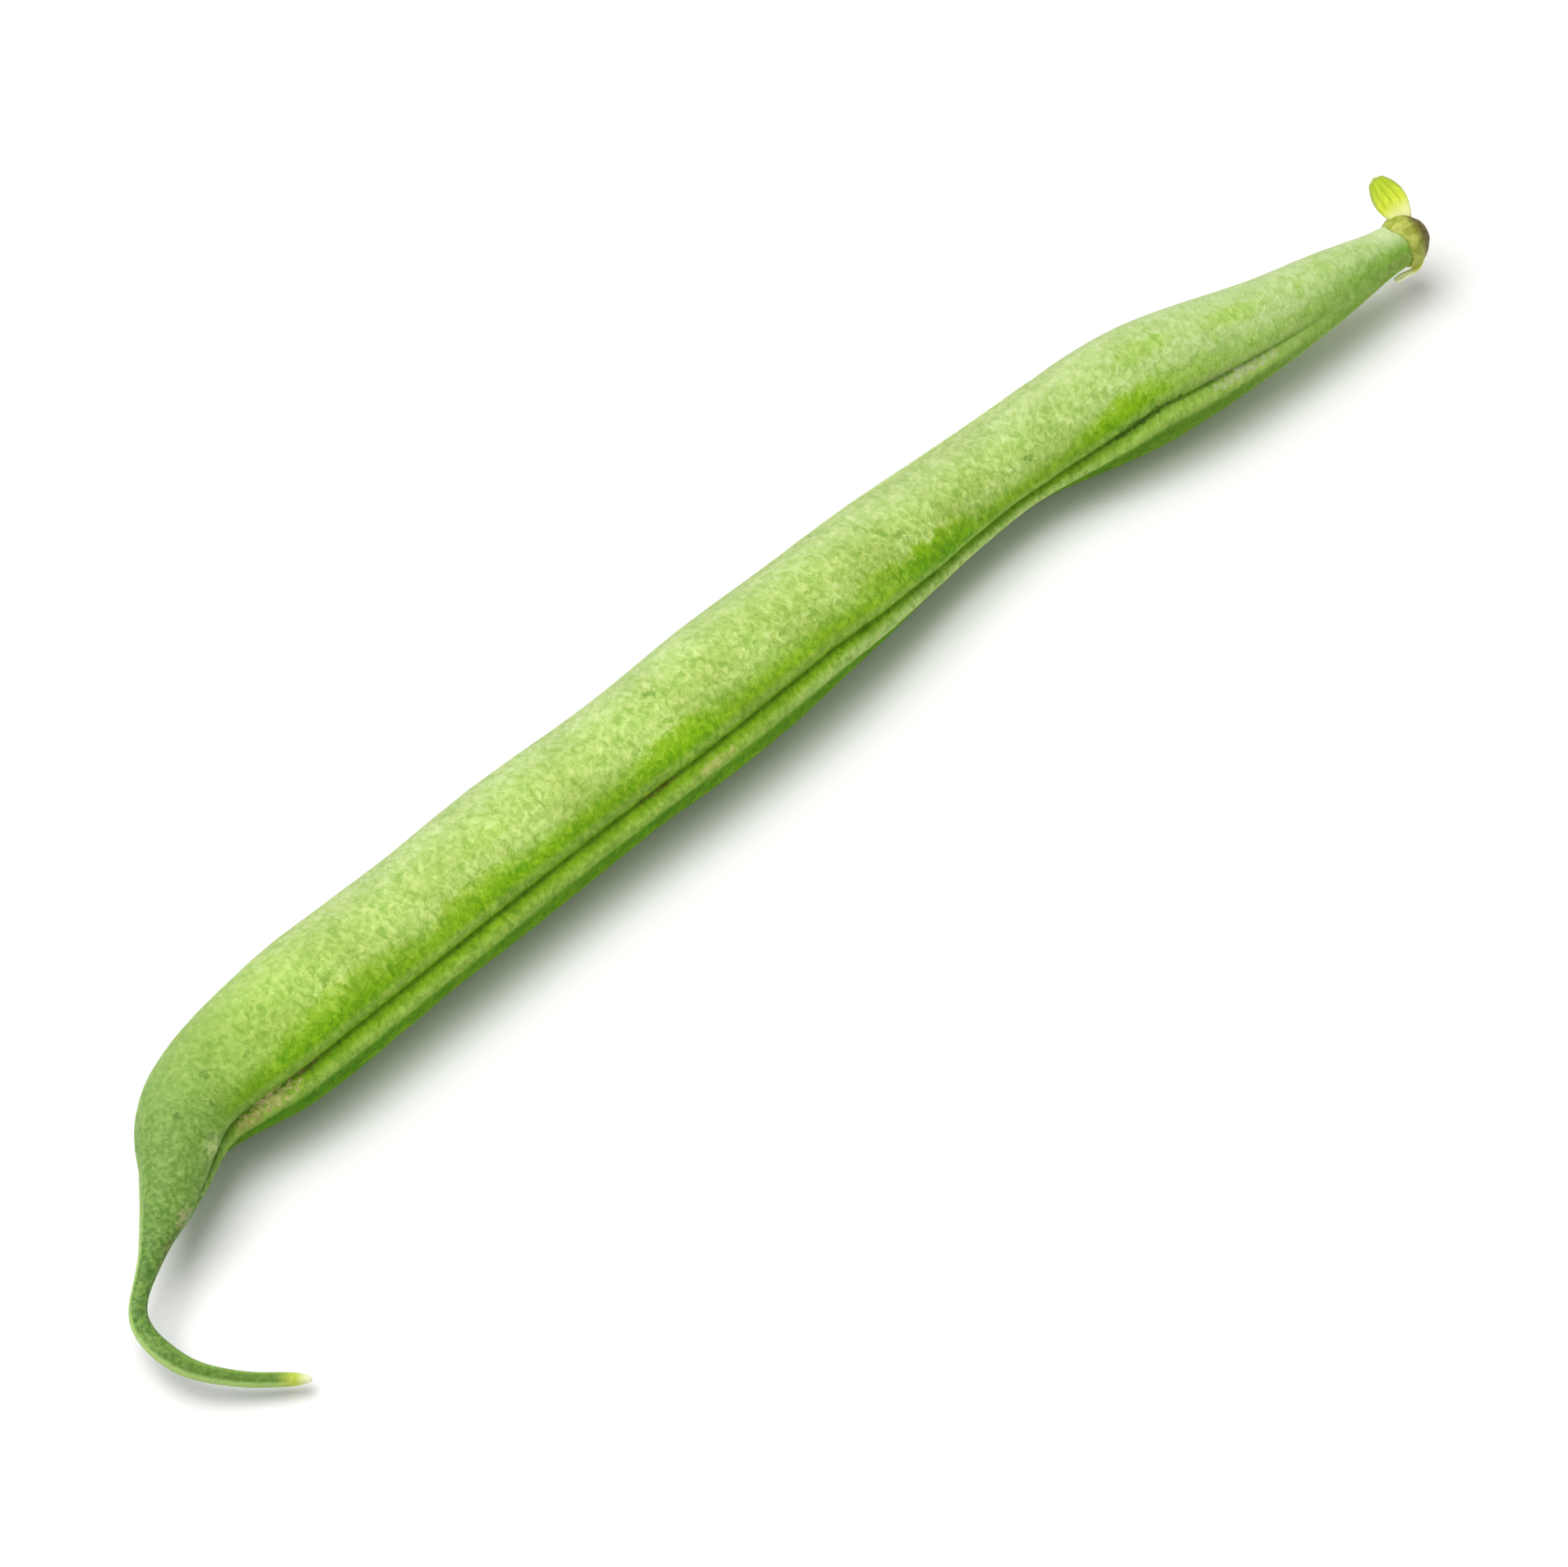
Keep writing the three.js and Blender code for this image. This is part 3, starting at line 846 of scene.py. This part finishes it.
# From 0 at the middle to 1 at both sides, and from -1 at the root to 1 at the tip.
width_share = leafy.math("ABSOLUTE", blade_parts["X"])
tipward = blade_parts["Y"]
leaf_grain = leafy.noise(leafy.stretched(blade_place, (9, 3, 3)), 1.0, 2.0)
grained = leafy.ramp(leaf_grain, 0.35, 0.65)
leaf_colour = leafy.mix(grained, paint(206, 222, 50), paint(232, 244, 84))
side_vein = leafy.band(width_share, 0.5, 0.14)
veins = leafy.math("MAXIMUM", leafy.band(width_share, 0, 0.14), side_vein)
veins = leafy.math("MULTIPLY", veins, leafy.ramp(tipward, -0.6, 0.2))
leaf_colour = leafy.mix(leafy.math("MULTIPLY", veins, 0.6), leaf_colour, paint(158, 184, 16))
deeper = leafy.math("MULTIPLY", leafy.ramp(tipward, -0.1, 0.7), 0.5)
leaf_colour = leafy.mix(deeper, leaf_colour, paint(172, 198, 30))
leaf_root = leafy.math("MULTIPLY", leafy.ramp(tipward, -0.05, -0.75), 0.95)
leaf_colour = leafy.mix(leaf_root, leaf_colour, paint(246, 248, 176))
tip_edge = leafy.ramp(tipward, 0.8, 1.0)
leaf_rim = leafy.math("MAXIMUM", leafy.ramp(width_share, 0.78, 1.0), tip_edge)
leaf_rim = leafy.math("MULTIPLY", leaf_rim, leafy.ramp(tipward, -0.3, 0.3, 0.2, 0.7))
leaf_colour = leafy.mix(leaf_rim, leaf_colour, paint(150, 166, 84))
# The lower one, which lies out of the light, is pale and dry, and is painted lighter as if lit,
# its tip above all.
leaf_place = leafy.node("TexCoord", {}).outputs["Object"]
leaf_height = leafy.node("SeparateXYZ", {"Vector": leaf_place}).outputs["Z"]
pale_and_painted_lit = leafy.ramp(leaf_height, 4 * MM, 3 * MM)
tip_pale_and_painted_lit = leafy.ramp(tipward, -0.3, 0.4)
colour_pale_and_painted_lit = leafy.mix(tip_pale_and_painted_lit, paint(214, 226, 98), paint(253, 255, 200))
leaf_colour = leafy.mix(pale_and_painted_lit, leaf_colour, colour_pale_and_painted_lit)
leafy.join(leaf_colour, leafy.skin.inputs["Base Color"])
leafy.skin.inputs["Roughness"].default_value = 0.5
leafy.skin.inputs["Specular IOR Level"].default_value = 0.35
leafy.skin.inputs["Subsurface Weight"].default_value = 0.3
leafy.skin.inputs["Subsurface Radius"].default_value = (1.0, 1.2, 0.2)
leafy.skin.inputs["Subsurface Scale"].default_value = 0.5 * MM
leaf_bump = leafy.node("Bump", {"Height": leaf_grain, "Strength": 0.5, "Distance": 0.03 * MM})
leafy.join(leaf_bump.outputs["Normal"], leafy.skin.inputs["Normal"])

for blade, node in ((upper_bracteole, "bracteole_upper"), (lower_bracteole, "bracteole_lower")):
    blade.data.materials.append(leafy.material)
    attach(blade, "root")
    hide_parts(node)


# ---- The surface, the light and the camera ----
# A wide pale surface, a large soft light overhead and a little behind, and pale light all round.

FLOOR_RADIUS = 3.0
LIGHT_ALL_ROUND = 0.42

bpy.ops.mesh.primitive_circle_add(vertices=64, radius=FLOOR_RADIUS, fill_type="NGON")
floor = bpy.context.object
floor.name = "floor"
pale = Shader("pale_surface")
pale.skin.inputs["Base Color"].default_value = paint(244, 244, 243)
pale.skin.inputs["Roughness"].default_value = 0.9
pale.skin.inputs["Specular IOR Level"].default_value = 0.1
floor.data.materials.append(pale.material)

world = bpy.data.worlds.new("studio")
world.use_nodes = True
background = world.node_tree.nodes["Background"]
background.inputs["Color"].default_value = (1, 1, 1, 1)
background.inputs["Strength"].default_value = LIGHT_ALL_ROUND
bpy.context.scene.world = world


def soft_light(name, place, size, power):
    """A square soft light that faces the bean."""
    bpy.ops.object.light_add(type="AREA", location=place)
    light = bpy.context.object
    light.name = name
    light.rotation_euler = (-Vector(place)).to_track_quat("-Z", "Y").to_euler()
    light.data.size = size
    light.data.energy = power


soft_light("overhead", place=(-0.12, 0.15, 0.64), size=0.55, power=4.5)

# The camera looks down on the bean from its beak's side.
CAMERA_PLACE = Vector((-123.5, -161.1, 285.6)) * MM
VIEW_AZIMUTH = math.radians(-43)
VIEW_ELEVATION = math.radians(56)
PAN = math.radians(3.55)
TILT = math.radians(1.3)
LENS = 135
SENSOR_WIDTH = 36
NEAREST = 0.01

bpy.ops.object.camera_add(location=CAMERA_PLACE)
camera = bpy.context.object
raised = Quaternion((1, 0, 0), math.pi / 2 - VIEW_ELEVATION)
looking_along = Quaternion((0, 0, 1), VIEW_AZIMUTH) @ raised
turned = looking_along @ Quaternion((0, 1, 0), PAN) @ Quaternion((1, 0, 0), TILT)
camera.rotation_euler = turned.to_euler()
camera.data.lens = LENS
camera.data.sensor_width = SENSOR_WIDTH
camera.data.clip_start = NEAREST
bpy.context.scene.camera = camera
bpy.context.scene.view_settings.view_transform = "Standard"
